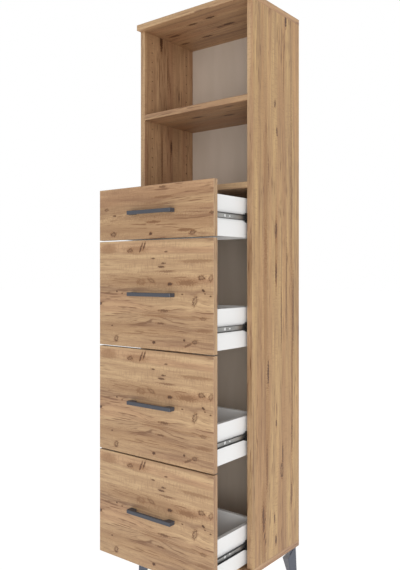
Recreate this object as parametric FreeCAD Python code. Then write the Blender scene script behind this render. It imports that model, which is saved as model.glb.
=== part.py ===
import FreeCAD, Part
import math
import os
from FreeCAD import Vector

os.makedirs("parts", exist_ok=True)

# Storage cabinet: an open bookcase top over four drawers, on four splayed legs.
# Millimetres. X runs along the width, Y from the front to the rear, Z up from the floor.
# The drawers stand open, as they rest; the origin is on the floor, below the middle.

# Carcass boards
cabinet_width = 444.0
body_height = 1700.0
side_depth = 273.0
board_thickness = 18.0
leg_height = 120.0
groove_depth = 6.0
groove_play = 0.25

# Back panel
back_thickness = 3.0
back_inset = 16.0

# Rows of shelf pin holes
pin_hole_radius = 2.5
pin_hole_depth = 12.0
pin_pitch = 32.0
pin_row_setback = 37.0
top_row_clearance = 30.0

# Drawer fronts
front_thickness = 18.0
front_side_reveal = 1.0
front_bottom_reveal = 3.0
front_gap = 4.0
deep_front_height = 316.0
shallow_front_height = 155.0
deep_drawer_count = 3
shelf_overlap = 5.0
closing_gap = 1.0
edge_chamfer = 0.8

# Drawer boxes
box_board = 12.0
box_height = 116.0
box_rise = 4.0
box_rear_clearance = 20.0
bottom_thickness = 3.0
bottom_rise = 10.0
box_groove_depth = 5.0

# Ball bearing slides, two members and a ball retainer on each side
slide_thickness = 10.0
slide_setback = 2.0
slide_rear_clearance = 22.0
slide_least_overlap = 54.0
slide_stop_reserve = 10.0
outer_member_height = 27.0
outer_member_wall = 1.2
outer_member_depth = 9.0
outer_lip = 1.2
outer_bend = 1.8
inner_member_height = 16.5
inner_member_wall = 1.0
inner_member_depth = 7.3
inner_bend = 1.5
retainer_wall = 0.8
retainer_gap = 0.4
retainer_nose = 12.0
retainer_notch = 7.0
retainer_margin = 2.0
retainer_bend = 1.0
ball_play = 0.3
ball_rows = 2
ball_spacing = 22.0
ball_lead = 16.0
slide_hole_radius = 5.2
slide_hole_setback = 68.0
slide_slot_setback = 91.0
slide_slot_length = 9.0
slide_slot_height = 4.0
slide_screw_setback = 17.0

# Bow handles
handle_length = 168.0
handle_projection = 22.0
handle_height = 11.0
handle_bar_depth = 8.0
handle_foot_length = 21.0
handle_foot_flare = 6.0
handle_screw_spacing = 160.0
handle_chamfer = 1.2

# Legs
leg_top_inset = 7.5
leg_foot_inset = 4.0
leg_top_width = 53.0
leg_foot_width = 33.0
leg_top_reach = 70.0
leg_foot_reach = 32.0
leg_tip = 4.0
leg_plate_width = 64.0
leg_plate_thickness = 5.0
leg_plate_setback = 1.5
leg_neck_width = 32.0
leg_neck_length = 50.0
leg_shoulder_rise = 2.0
leg_shoulder_front_drop = 33.0
leg_shoulder_inner_drop = 75.5
leg_screw_near = 8.5
leg_screw_far = 41.0
leg_screw_middle = 25.0
glide_radius = 8.0
glide_thickness = 3.0

# Flats round each small turned piece and bore, kept few because they repeat so often
screw_flat_count = 6
pin_flat_count = 6
cam_flat_count = 8
slide_hole_flat_count = 8
glide_flat_count = 8

# Fasteners
hole_play = 0.1
cam_radius = 7.5
cam_depth = 12.5
cam_setback = 24.0
bolt_thread_length = 11.0
small_cam_depth = 9.5
cam_edge_distance = 25.0
dowel_radius = 4.0
dowel_length = 30.0
panel_screw_radius = 3.5
panel_screw_length = 50.0
panel_screw_head_radius = 5.0
panel_screw_head_height = 4.0
panel_screw_setback = 62.0
slide_screw_radius = 2.0
slide_screw_length = 10.0
handle_screw_radius = 2.0
handle_screw_grip = 9.0
handle_screw_head_radius = 4.0
handle_screw_head_height = 2.4
box_screw_radius = 2.0
box_screw_length = 38.0
leg_screw_radius = 2.0
leg_screw_length = 14.0
leg_screw_head_radius = 3.8
leg_screw_head_height = 2.2

# Places worked out from the sizes
half_width = cabinet_width / 2
inner_x = half_width - board_thickness
body_bottom = leg_height
body_top = body_bottom + body_height
inner_bottom = body_bottom + board_thickness
inner_top = body_top - board_thickness
inner_depth = side_depth - back_inset - back_thickness
slide_length = inner_depth - slide_setback - slide_rear_clearance
full_travel = slide_length - slide_least_overlap
opening_shown = full_travel - slide_stop_reserve
front_pull = closing_gap + opening_shown
reach = front_pull + front_thickness + handle_projection
front_y = (reach - side_depth) / 2
rear_y = front_y + side_depth
back_y = front_y + inner_depth
overhang_y = front_y - closing_gap - front_thickness
front_row_y = front_y + pin_row_setback
rear_row_y = back_y - pin_row_setback
screw_row_y = (front_row_y, rear_row_y)
middle_row_y = (front_row_y + rear_row_y) / 2
panel_screw_row_y = (front_y + panel_screw_setback, back_y - panel_screw_setback)
leg_plate_inset = leg_top_inset + leg_plate_setback


def block(x0, x1, y0, y1, z0, z1):
    """A board or a rectangular cut between two corners."""
    return Part.makeBox(x1 - x0, y1 - y0, z1 - z0, Vector(x0, y0, z0))


def polygon(points):
    """A flat face with these corners."""
    return Part.Face(Part.makePolygon(points + points[:1]))


def rod(radius, start, end, flat_count=screw_flat_count):
    """A turned bar or bore from one point to another, with flats that stay inside its circle."""
    run = end.sub(start)
    across = Vector(run.y, run.z, run.x)
    across = across - run * (across.dot(run) / run.dot(run))
    across.normalize()
    along = run.cross(across)
    along.normalize()
    points = []
    for corner in range(flat_count):
        angle = 2 * math.pi * corner / flat_count
        points.append(start + across * (radius * math.cos(angle)) + along * (radius * math.sin(angle)))
    return polygon(points).extrude(run)


def headed(shank_radius, head_radius, seat, direction, shank_length, head_height):
    """A screw: a shank that runs in from its seat, and a head that stands out from it."""
    shank = rod(shank_radius, seat, seat + direction * shank_length)
    head = rod(head_radius, seat - direction * head_height, seat)
    return shank.fuse(head)


def mirror_x(shape):
    """The mirror image across the middle of the width."""
    return shape.mirror(Vector(0, 0, 0), Vector(1, 0, 0))


def both_sides(shapes):
    """The pieces of the right side and their mirror images on the left."""
    return list(shapes) + [mirror_x(shape) for shape in shapes]


def chamfered_front(board, outer_y):
    """Breaks the edges round a board's front face, as an edge band is eased."""
    edges = [
        edge for edge in board.Edges
        if all(abs(vertex.Point.y - outer_y) < edge_chamfer / 2 for vertex in edge.Vertexes)
    ]
    return board.makeChamfer(edge_chamfer, edges)


def save(node, solids):
    """One file for each named piece, or for a group of like pieces."""
    shape = solids[0] if len(solids) == 1 else Part.makeCompound(solids)
    shape.exportStep("parts/" + node + ".step")


# Drawer stack, from the top drawer down to the lowest
deep_pitch = deep_front_height + front_gap
lowest_front_z = inner_bottom + front_bottom_reveal
deep_front_z = [lowest_front_z + step * deep_pitch for step in range(deep_drawer_count)]
shallow_front_z = lowest_front_z + deep_drawer_count * deep_pitch
stack_top = shallow_front_z + shallow_front_height
front_levels = [shallow_front_z] + deep_front_z[::-1]
front_heights = [shallow_front_height] + [deep_front_height] * deep_drawer_count
slide_levels = [front_z + box_rise + box_height / 2 for front_z in front_levels]
drawer_names = ["drawer_%d" % (step + 1) for step in range(len(front_levels))]

# Shelf levels stand on the rows of pin holes
divider_z = stack_top - shelf_overlap
divider_middle_z = divider_z + board_thickness / 2
row_count = int((inner_top - top_row_clearance - divider_middle_z) // pin_pitch)
row_z = [divider_middle_z + row * pin_pitch for row in range(row_count + 1)]
shelf_row = row_count // 2
shelf_z = row_z[shelf_row] - board_thickness / 2

# Slide sections, seen along the slide: distance out from the side panel, and height
slide_outer_x = inner_x
slide_inner_x = inner_x - slide_thickness
box_half_width = slide_inner_x
ball_low = inner_member_height / 2
ball_high = outer_member_height / 2 - outer_member_wall
ball_radius = (ball_high - ball_low) / 2 - ball_play
ball_height = (ball_high + ball_low) / 2
retainer_web_x = slide_outer_x - outer_member_wall - retainer_gap
ball_x = slide_inner_x + inner_member_depth / 2
retainer_length = slide_least_overlap + slide_setback + retainer_nose - retainer_margin
retainer_y = front_y - retainer_nose + slide_stop_reserve / 2
outer_member_y = front_y + slide_setback
inner_member_y = outer_member_y - opening_shown
box_y = front_y - front_pull
box_length = inner_depth - box_rear_clearance + closing_gap
box_rear_y = box_y + box_length
back_wall_y = box_rear_y - box_board


def channel(web_x, open_x, half_height, wall, bend, lip, y0, length, level):
    """A channel rolled from strip: a web, two flanges with eased bends, and lips where it has them."""
    out = math.copysign(1, open_x - web_x)
    upper = [
        (web_x, half_height - bend),
        (web_x + out * bend, half_height),
        (open_x, half_height),
    ]
    if lip > 0:
        upper.append((open_x, half_height - wall - lip))
        upper.append((open_x - out * wall, half_height - wall - lip))
        upper.append((open_x - out * wall, half_height - wall))
    else:
        upper.append((open_x, half_height - wall))
    upper.append((web_x + out * bend, half_height - wall))
    upper.append((web_x + out * wall, half_height - bend))
    lower = [(x, -z) for x, z in reversed(upper)]
    points = [Vector(x, y0, level + z) for x, z in upper + lower]
    return polygon(points).extrude(Vector(0, length, 0))


def outer_member(level):
    """The slide's fixed channel, whose lips keep the balls in."""
    open_x = slide_outer_x - outer_member_depth
    shape = channel(
        slide_outer_x, open_x, outer_member_height / 2, outer_member_wall, outer_bend, outer_lip,
        outer_member_y, slide_length, level)
    web_x = slide_outer_x - outer_member_wall
    bores = [
        rod(slide_screw_radius + hole_play, Vector(web_x, y, level), Vector(slide_outer_x, y, level))
        for y in screw_row_y
    ]
    return shape.cut(bores)


def inner_member(level):
    """The slide's moving channel, screwed to the drawer box."""
    open_x = slide_inner_x + inner_member_depth
    shape = channel(
        slide_inner_x, open_x, inner_member_height / 2, inner_member_wall, inner_bend, 0,
        inner_member_y, slide_length, level)
    web_x = slide_inner_x + inner_member_wall
    hole_y = inner_member_y + slide_hole_setback
    slot_y = inner_member_y + slide_slot_setback
    cuts = [
        rod(
            slide_hole_radius, Vector(slide_inner_x, hole_y, level), Vector(web_x, hole_y, level),
            slide_hole_flat_count),
        block(
            slide_inner_x, web_x, slot_y - slide_slot_length / 2, slot_y + slide_slot_length / 2,
            level - slide_slot_height / 2, level + slide_slot_height / 2),
    ]
    for y in inner_screw_y:
        bore = slide_screw_radius + hole_play
        cuts.append(rod(bore, Vector(slide_inner_x, y, level), Vector(web_x, y, level)))
    return shape.cut(cuts)


def retainer(level):
    """The moulded strip that spaces the balls in its windows, with a forked nose at its front."""
    half = ball_height + retainer_wall / 2
    open_x = ball_x - ball_radius
    shape = channel(
        retainer_web_x, open_x, half, retainer_wall, retainer_bend, 0,
        retainer_y, retainer_length, level)
    tip = half - retainer_bend - retainer_wall
    notch = polygon([
        Vector(retainer_web_x - retainer_wall, retainer_y, level + tip),
        Vector(retainer_web_x - retainer_wall, retainer_y + retainer_notch, level),
        Vector(retainer_web_x - retainer_wall, retainer_y, level - tip),
    ]).extrude(Vector(retainer_wall, 0, 0))
    windows = [
        block(
            centre.x - ball_radius / 2, centre.x + ball_radius / 2,
            centre.y - ball_radius, centre.y + ball_radius,
            centre.z - retainer_wall, centre.z + retainer_wall)
        for centre in ball_centres(level)
    ]
    return shape.cut([notch] + windows)


def ball_centres(level):
    """Places of the balls, above and below the moving member."""
    return [
        Vector(ball_x, retainer_y + ball_lead + row * ball_spacing, level + sign * ball_height)
        for row in range(ball_rows) for sign in (1, -1)
    ]


inner_screw_y = (
    inner_member_y + slide_screw_setback,
    inner_member_y + slide_length - slide_screw_setback,
)

# Side panels, with their pin holes, grooves and screw holes
side_panel = block(inner_x, half_width, front_y, rear_y, inner_bottom, inner_top)
side_panel = chamfered_front(side_panel, front_y)
side_cuts = [block(
    inner_x - groove_play, inner_x + groove_depth,
    back_y - groove_play, back_y + back_thickness + groove_play,
    inner_bottom - groove_play, inner_top + groove_play,
)]
for row_y in screw_row_y:
    for z in row_z:
        hole = Vector(inner_x, row_y, z)
        side_cuts.append(rod(pin_hole_radius, hole, hole + Vector(pin_hole_depth, 0, 0), pin_flat_count))
    for level in slide_levels:
        hole = Vector(inner_x, row_y, level)
        bore_end = hole + Vector(slide_screw_length + hole_play, 0, 0)
        side_cuts.append(rod(slide_screw_radius + hole_play, hole, bore_end))
side_middle_x = (inner_x + half_width) / 2
for row_y in panel_screw_row_y:
    grip = panel_screw_length - board_thickness + hole_play
    bore = panel_screw_radius + hole_play
    for end_z, inward in ((inner_top, -1), (inner_bottom, 1)):
        hole = Vector(side_middle_x, row_y, end_z)
        side_cuts.append(rod(bore, hole, hole + Vector(0, 0, inward * grip)))
dowel_half = dowel_length / 2
dowel_seats = [
    (Vector(side_middle_x, middle_row_y, inner_top - dowel_half), Vector(0, 0, dowel_length)),
    (Vector(side_middle_x, middle_row_y, inner_bottom - dowel_half), Vector(0, 0, dowel_length)),
]
dowels = []
dowel_bores = []
for start, run in dowel_seats:
    dowels.append(rod(dowel_radius, start, start + run, pin_flat_count))
    dowel_bores.append(rod(dowel_radius + hole_play, start, start + run, pin_flat_count))
side_panel = side_panel.cut(side_cuts + dowel_bores)
save("right_side_panel", [side_panel])
save("left_side_panel", [mirror_x(side_panel)])
save("dowels", both_sides(dowels))


def leg_screw_seats():
    """Where the three screws of a leg's plate bear on it."""
    plate_z = body_bottom - leg_plate_thickness
    corner = Vector(half_width - leg_plate_inset, rear_y - leg_plate_inset, plate_z)
    places = (
        (leg_screw_far, leg_screw_near),
        (leg_screw_middle, leg_screw_middle),
        (leg_screw_near, leg_screw_far),
    )
    return [corner - Vector(across, along, 0) for across, along in places]


def at_corner(shape, right, rear):
    """A piece of the rear right leg, mirrored to the leg's corner of the cabinet."""
    middle = Vector(0, (overhang_y + rear_y) / 2, 0)
    placed = shape if rear else shape.mirror(middle, Vector(0, 1, 0))
    return placed if right else mirror_x(placed)


def at_every_leg(shape):
    """A piece of the rear right leg, with its mirror images at the other three."""
    return [at_corner(shape, right, rear) for right in (True, False) for rear in (True, False)]


# Top and bottom panels run over the full width, and forward over the shut fronts
dowel_bores = both_sides(dowel_bores)
leg_bores = []
for seat in leg_screw_seats():
    leg_bores.extend(at_every_leg(rod(
        leg_screw_radius + hole_play, seat, seat + Vector(0, 0, leg_screw_length + hole_play))))
panel_screws = []
for node, inner_z, outer_z, inward, more_bores in (
    ("top_panel", inner_top, body_top, -1, []),
    ("bottom_panel", inner_bottom, body_bottom, 1, leg_bores),
):
    panel = block(-half_width, half_width, overhang_y, rear_y, min(inner_z, outer_z), max(inner_z, outer_z))
    panel = chamfered_front(panel, overhang_y)
    groove_end_z = inner_z - inward * groove_depth
    cuts = [block(
        -inner_x - groove_depth, inner_x + groove_depth,
        back_y - groove_play, back_y + back_thickness + groove_play,
        min(inner_z, groove_end_z), max(inner_z, groove_end_z),
    )]
    for row_y in panel_screw_row_y:
        seat = Vector(side_middle_x, row_y, outer_z + inward * panel_screw_head_height)
        into = Vector(0, 0, inward)
        cuts.extend(both_sides([headed(
            panel_screw_radius + hole_play, panel_screw_head_radius + hole_play, seat, into,
            board_thickness, panel_screw_head_height,
        )]))
        panel_screws.extend(both_sides([headed(
            panel_screw_radius, panel_screw_head_radius, seat, into,
            panel_screw_length - panel_screw_head_height, panel_screw_head_height,
        )]))
    save(node, [panel.cut(cuts + dowel_bores + more_bores)])
save("panel_screws", panel_screws)

# Shelves: each end is drawn to its side by two cams that turn on the heads of bolts
shelf_cams = []
shelf_bolts = []
for node, low_z, cam_face_z, into_board in (
    ("upper_shelf", shelf_z, shelf_z + board_thickness, -1),
    ("divider_shelf", divider_z, divider_z, 1),
):
    shelf = block(-inner_x, inner_x, front_y, back_y, low_z, low_z + board_thickness)
    shelf = chamfered_front(shelf, front_y)
    middle_z = low_z + board_thickness / 2
    cuts = []
    for row_y in screw_row_y:
        cam_x = inner_x - cam_setback
        face = Vector(cam_x, row_y, cam_face_z)
        inside = face + Vector(0, 0, into_board * cam_depth)
        well_end = face + Vector(0, 0, into_board * (cam_depth + hole_play))
        bolt_start = Vector(cam_x + cam_radius, row_y, middle_z)
        bolt_seat = Vector(inner_x, row_y, middle_z)
        bolt_end = bolt_seat + Vector(bolt_thread_length, 0, 0)
        well = rod(cam_radius + hole_play, face, well_end, cam_flat_count)
        bolt_way = rod(pin_hole_radius, Vector(cam_x, row_y, middle_z), bolt_seat, pin_flat_count)
        cuts.extend(both_sides([well, bolt_way]))
        shelf_cams.extend(both_sides([rod(cam_radius, face, inside, cam_flat_count)]))
        shelf_bolts.extend(both_sides([rod(pin_hole_radius - hole_play, bolt_start, bolt_end)]))
    save(node, [shelf.cut(cuts)])
save("shelf_cams", shelf_cams)
save("shelf_bolts", shelf_bolts)

# Back panel, slid into the grooves of the boards round it
back_edge = groove_depth - groove_play
save("back_panel", [block(
    -inner_x - back_edge, inner_x + back_edge, back_y, back_y + back_thickness,
    inner_bottom - back_edge, inner_top + back_edge,
)])

# Fixed slide members and their screws, on both side panels at each drawer
outer_screws = []
for name, level in zip(drawer_names, slide_levels):
    save(name + "_outer_slides", both_sides([outer_member(level)]))
    for row_y in screw_row_y:
        seat = Vector(slide_outer_x - outer_member_wall, row_y, level)
        outer_screws.append(rod(
            slide_screw_radius, seat, Vector(slide_outer_x + slide_screw_length, row_y, level)))
save("outer_slide_screws", both_sides(outer_screws))


def leg_section(reach_in, width, inset, z):
    """Corners of a leg's section: a right angle at the cabinet's corner, with both tips cut square."""
    far_across = reach_in - leg_tip
    far_along = width - leg_tip
    corner = Vector(half_width - inset, rear_y - inset, z)
    offsets = [(0, 0), (far_across, 0), (far_across, leg_tip), (leg_tip, far_along), (0, far_along)]
    return [corner - Vector(across, along, 0) for across, along in offsets]


def tapered_bar(low, high):
    """A bar between two sections that have as many corners; a side that twists is folded once."""
    faces = [polygon(low), polygon(high)]
    for corner in range(len(low)):
        faces.append(polygon([low[corner - 1], low[corner], high[corner - 1]]))
        faces.append(polygon([low[corner], high[corner], high[corner - 1]]))
    return Part.makeSolid(Part.makeShell(faces)).removeSplitter()


def leg_at_rear_right():
    """A moulded leg: a screw plate, a neck, and a splayed shaft with a sloping shoulder."""
    plate_z = body_bottom - leg_plate_thickness
    shaft = tapered_bar(
        leg_section(leg_foot_reach, leg_foot_width, leg_foot_inset, glide_thickness),
        leg_section(leg_top_reach, leg_top_width, leg_top_inset, body_bottom))
    corner = Vector(half_width - leg_top_inset, rear_y - leg_top_inset, 0)
    span = leg_top_reach + leg_top_width
    shoulder = []
    for across, along in ((-span, -span), (span, -span), (span, span), (-span, span)):
        drop = across * leg_shoulder_inner_drop / leg_top_reach
        drop = drop + along * leg_shoulder_front_drop / leg_top_width
        shoulder.append(corner + Vector(-across, -along, body_bottom + leg_shoulder_rise - drop))
    shaft = shaft.cut(polygon(shoulder).extrude(Vector(0, 0, 2 * body_bottom)))
    neck = polygon(leg_section(leg_neck_width, leg_neck_width, leg_plate_inset, plate_z))
    neck = neck.extrude(Vector(0, 0, -leg_neck_length))
    plate = polygon(leg_section(leg_plate_width, leg_plate_width, leg_plate_inset, plate_z))
    plate = plate.extrude(Vector(0, 0, leg_plate_thickness))
    bores = [
        rod(leg_screw_radius + hole_play, seat - Vector(0, 0, leg_plate_thickness),
            seat + Vector(0, 0, 2 * leg_plate_thickness))
        for seat in leg_screw_seats()
    ]
    return shaft.fuse([neck, plate]).removeSplitter().cut(bores)


# Legs, their screws and the glides that they stand on
leg = leg_at_rear_right()
for node, right, rear in (
    ("rear_right_leg", True, True), ("rear_left_leg", False, True),
    ("front_right_leg", True, False), ("front_left_leg", False, False),
):
    save(node, [at_corner(leg, right, rear)])
leg_screws = []
for seat in leg_screw_seats():
    leg_screws.extend(at_every_leg(headed(
        leg_screw_radius, leg_screw_head_radius, seat, Vector(0, 0, 1),
        leg_screw_length, leg_screw_head_height)))
save("leg_screws", leg_screws)
foot_corner = Vector(half_width - leg_foot_inset, rear_y - leg_foot_inset, 0)
glide_middle = foot_corner - Vector(glide_radius + leg_tip / 2, glide_radius + leg_tip / 2, 0)
glide = rod(glide_radius, glide_middle, glide_middle + Vector(0, 0, glide_thickness), glide_flat_count)
save("leg_glides", at_every_leg(glide))


def bow_handle(middle_z):
    """A bow handle: one bar on two feet, sloped inside so that fingers slide in."""
    face_y = box_y - front_thickness
    bar_y = face_y - handle_projection
    inside_y = bar_y + handle_bar_depth
    half = handle_length / 2
    foot = half - handle_foot_length
    bar_foot = foot - handle_foot_flare
    points = [
        Vector(-half, face_y, 0), Vector(-half, bar_y, 0), Vector(half, bar_y, 0), Vector(half, face_y, 0),
        Vector(foot, face_y, 0), Vector(bar_foot, inside_y, 0),
        Vector(-bar_foot, inside_y, 0), Vector(-foot, face_y, 0),
    ]
    shape = polygon(points).extrude(Vector(0, 0, handle_height))
    edges = [
        edge for edge in shape.Edges
        if all(abs(vertex.Point.y - bar_y) < handle_chamfer / 2 for vertex in edge.Vertexes)
    ]
    shape = shape.makeChamfer(handle_chamfer, edges)
    shape.translate(Vector(0, 0, middle_z - handle_height / 2))
    grip = Vector(0, -handle_screw_grip - hole_play, 0)
    bores = [
        rod(handle_screw_radius + hole_play, Vector(x, face_y, middle_z), Vector(x, face_y, middle_z) + grip)
        for x in handle_screw_x
    ]
    return shape.cut(bores)


handle_screw_x = (-handle_screw_spacing / 2, handle_screw_spacing / 2)


def build_drawer(name, front_z, height, level):
    """One drawer: front, handle, box, bottom, moving slides, ball retainers and fasteners."""
    middle_z = front_z + height / 2
    box_z = front_z + box_rise
    box_top = box_z + box_height
    side_x = box_half_width - box_board
    side_middle = side_x + box_board / 2
    cam_z = (box_z + cam_edge_distance, box_top - cam_edge_distance)
    face_y = box_y - front_thickness
    half_front = half_width - front_side_reveal
    bottom_z = box_z + bottom_rise
    bottom_edge = box_groove_depth - groove_play
    groove_low = bottom_z - groove_play
    groove_high = bottom_z + bottom_thickness + groove_play
    groove = block(
        -side_x - box_groove_depth, side_x + box_groove_depth,
        box_y - box_groove_depth, back_wall_y + box_groove_depth, groove_low, groove_high,
    )
    bottom = block(
        -side_x - bottom_edge, side_x + bottom_edge,
        box_y - bottom_edge, back_wall_y + bottom_edge, bottom_z, bottom_z + bottom_thickness,
    )

    cams = []
    cam_wells = []
    bolt_ways = []
    for z in cam_z:
        cam_y = box_y + cam_setback
        centre = Vector(side_x, cam_y, z)
        deep = Vector(side_x + small_cam_depth, cam_y, z)
        bolt_seat = Vector(side_middle, box_y, z)
        bolt_start = Vector(side_middle, cam_y - cam_radius, z)
        bolt_tip = Vector(side_middle, box_y - bolt_thread_length, z)
        cams.append(rod(cam_radius, centre, deep, cam_flat_count))
        cams.append(rod(pin_hole_radius - hole_play, bolt_start, bolt_tip))
        well_end = deep + Vector(hole_play, 0, 0)
        cam_wells.append(rod(cam_radius + hole_play, centre, well_end, cam_flat_count))
        bolt_ways.append(rod(pin_hole_radius, Vector(side_middle, cam_y, z), bolt_tip))

    screws = []
    screw_bores = []
    for z in cam_z:
        seat = Vector(box_half_width, back_wall_y + box_board / 2, z)
        run = Vector(-box_screw_length, 0, 0)
        screws.append(rod(box_screw_radius, seat, seat + run))
        screw_bores.append(rod(box_screw_radius + hole_play, seat, seat + run - Vector(hole_play, 0, 0)))
    for y in inner_screw_y:
        seat = Vector(slide_inner_x + inner_member_wall, y, level)
        run = Vector(-slide_screw_length, 0, 0)
        screws.append(rod(slide_screw_radius, seat, seat + run))
        screw_bores.append(rod(slide_screw_radius + hole_play, seat, seat + run - Vector(hole_play, 0, 0)))

    handle_screws = []
    handle_bores = []
    for x in handle_screw_x:
        seat = Vector(x, box_y, middle_z)
        into = Vector(0, -1, 0)
        handle_screws.append(headed(
            handle_screw_radius, handle_screw_head_radius, seat, into,
            front_thickness + handle_screw_grip, handle_screw_head_height))
        handle_bores.append(rod(handle_screw_radius + hole_play, seat, seat + into * front_thickness))

    front = block(-half_front, half_front, face_y, box_y, front_z, front_z + height)
    front = chamfered_front(front, face_y)
    side = block(side_x, box_half_width, box_y, box_rear_y, box_z, box_top)
    side = side.cut([groove] + cam_wells + bolt_ways + screw_bores)
    back_wall = block(-side_x, side_x, back_wall_y, box_rear_y, box_z, box_top)
    save(name + "_front", [front.cut([groove] + handle_bores + both_sides(bolt_ways))])
    save(name + "_handle", [bow_handle(middle_z)])
    save(name + "_right_side", [side])
    save(name + "_left_side", [mirror_x(side)])
    save(name + "_back", [back_wall.cut([groove] + both_sides(screw_bores))])
    save(name + "_bottom", [bottom])
    save(name + "_inner_slides", both_sides([inner_member(level)]))
    save(name + "_ball_retainers", both_sides([retainer(level)]))
    save(name + "_fasteners", both_sides(cams + screws) + handle_screws)


for name, front_z, height, level in zip(drawer_names, front_levels, front_heights, slide_levels):
    build_drawer(name, front_z, height, level)

print("front edge of the sides at y", front_y, "travel", full_travel, "shown", opening_shown)
print("slide length", slide_length, "rows", row_count, "shelf", shelf_z, "divider", divider_z)
print("ball radius", ball_radius, "box", box_half_width, box_y, box_rear_y)
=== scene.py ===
import math
from functools import partial

import bmesh
import bpy
import numpy as np
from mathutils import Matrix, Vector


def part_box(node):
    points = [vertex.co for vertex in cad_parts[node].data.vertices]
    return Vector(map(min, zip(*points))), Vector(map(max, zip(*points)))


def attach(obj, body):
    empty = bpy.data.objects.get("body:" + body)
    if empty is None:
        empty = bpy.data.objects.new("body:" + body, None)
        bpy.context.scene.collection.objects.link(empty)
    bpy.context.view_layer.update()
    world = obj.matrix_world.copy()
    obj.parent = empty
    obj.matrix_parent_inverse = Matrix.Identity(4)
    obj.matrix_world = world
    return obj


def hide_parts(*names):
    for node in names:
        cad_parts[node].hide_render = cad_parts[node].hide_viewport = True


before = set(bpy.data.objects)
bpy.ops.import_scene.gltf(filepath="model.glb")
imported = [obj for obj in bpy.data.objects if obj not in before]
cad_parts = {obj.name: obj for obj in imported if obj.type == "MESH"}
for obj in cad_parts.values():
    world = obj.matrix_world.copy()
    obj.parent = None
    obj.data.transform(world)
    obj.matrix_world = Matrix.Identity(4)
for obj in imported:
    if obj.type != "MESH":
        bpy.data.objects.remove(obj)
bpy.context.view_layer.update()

# ----------------------------------------
# Side panels
# Each is one 18 mm chipboard, faced on both sides with a printed oak paper under melamine resin.
# The long edges are banded with the same print and eased. Two rows of shelf pin holes are bored
# into the inner face. Dowels and screws hold the panels to the top and bottom panels.

sideways, rearward, upright = (1.0, 0.0, 0.0), (0.0, 1.0, 0.0), (0.0, 0.0, 1.0)
axes = (sideways, rearward, upright)
merge_distance = 0.000002
flat_turn = 0.5
sharp_turn = 60
bore_turns = (-65, -40)
bore_share = 0.49
square_on = 0.1
edge_ease = 0.0006
long_edge = 0.020
widest_bevel = 0.004
bevel_steps = 3


def merged_shape(node):
    """The node's own mesh with its corners merged."""
    shape = bmesh.new()
    shape.from_mesh(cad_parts[node].data)
    bmesh.ops.remove_doubles(shape, verts=shape.verts, dist=merge_distance)
    return shape


def bore_side(edge):
    """The shortest edge that crosses the given one, which is one side of a many-sided bore."""
    line = (edge.verts[0].co - edge.verts[1].co).normalized()
    sides = []
    for face in edge.link_faces:
        for other in face.edges:
            span = other.verts[0].co - other.verts[1].co
            if abs(span.normalized() @ line) < square_on:
                sides.append(span.length)
    return min(sides, default=1.0)


def eased_copy(node, name, ease=edge_ease, shortest=long_edge, round_bores=True):
    """The node's merged mesh with its flat faces joined, and a weight on each edge to be eased.

    A long sharp edge is eased by its bevel. An edge down the wall of a six or eight-sided bore is
    rounded by half of the bore's side, so that the arcs meet and the bore is a circle.
    """
    shape = merged_shape(node)
    bmesh.ops.dissolve_limit(
        shape, angle_limit=math.radians(flat_turn), verts=shape.verts, edges=shape.edges)
    weight = shape.edges.layers.float.new("bevel_weight_edge")
    for edge in shape.edges:
        if len(edge.link_faces) != 2:
            continue
        turn = math.degrees(edge.calc_face_angle_signed(0))
        in_bore = round_bores and bore_turns[0] < turn < bore_turns[1]
        if in_bore and bore_side(edge) < widest_bevel * 2:
            edge[weight] = bore_share * bore_side(edge) / widest_bevel
        elif turn > sharp_turn and edge.calc_length() > shortest:
            edge[weight] = ease / widest_bevel
    mesh = bpy.data.meshes.new(name)
    shape.to_mesh(mesh)
    shape.free()
    return mesh


def new_object(name, data):
    """A new object in the scene, at the origin."""
    thing = bpy.data.objects.new(name, data)
    bpy.context.scene.collection.objects.link(thing)
    return thing


def place_piece(mesh, name, material, body, slot, *nodes):
    """One piece in the scene, riding on its body and standing for its nodes."""
    piece = new_object(name, mesh)
    mesh.materials.clear()
    mesh.materials.append(material)
    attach(piece, body)
    if nodes:
        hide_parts(*nodes)
    return piece


def stand_in(node, ending, material, body, slot, steps=bevel_steps, **easing):
    """The eased copy of a node as its piece, called after the node with an ending.

    A live bevel of so many steps reads the weights of the edges. No steps leave it out.
    """
    name = node + ending
    piece = place_piece(eased_copy(node, name, **easing), name, material, body, slot, node)
    if steps:
        bevel = piece.modifiers.new("eased edges", "BEVEL")
        bevel.limit_method = "WEIGHT"
        bevel.width = widest_bevel
        bevel.segments = steps
        bevel.use_clamp_overlap = False
    return piece


def paint(red, green, blue):
    """A colour as it looks on a screen, 0 to 255 a channel, as the linear colour of a socket."""
    seen = np.array([red, green, blue]) / 255
    linear = np.where(seen <= 0.04045, seen / 12.92, ((seen + 0.055) / 1.055) ** 2.4)
    return (*linear.tolist(), 1.0)


def feed_into(tree, inputs, feeds):
    """Links and values for the inputs of a node, by number or name."""
    for key, feed in feeds.items():
        if isinstance(feed, bpy.types.NodeSocket):
            tree.links.new(feed, inputs[key])
        else:
            inputs[key].default_value = feed


def lay(tree, kind, feeds=(), out=0, **settings):
    """One shader node with its settings and feeds. Gives one of its outputs."""
    node = tree.nodes.new(kind)
    for key, value in settings.items():
        setattr(node, key, value)
    feed_into(tree, node.inputs, feeds if isinstance(feeds, dict) else dict(enumerate(feeds)))
    return node.outputs[out]


def reckon(tree, operation, *feeds):
    """One number from others."""
    return lay(tree, "ShaderNodeMath", feeds, operation=operation)


def sum_of(tree, *feeds):
    """All the feeds added up."""
    total = feeds[0]
    for feed in feeds[1:]:
        total = reckon(tree, "ADD", total, feed)
    return total


def times(tree, first, second):
    """The product of two feeds."""
    return reckon(tree, "MULTIPLY", first, second)


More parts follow.
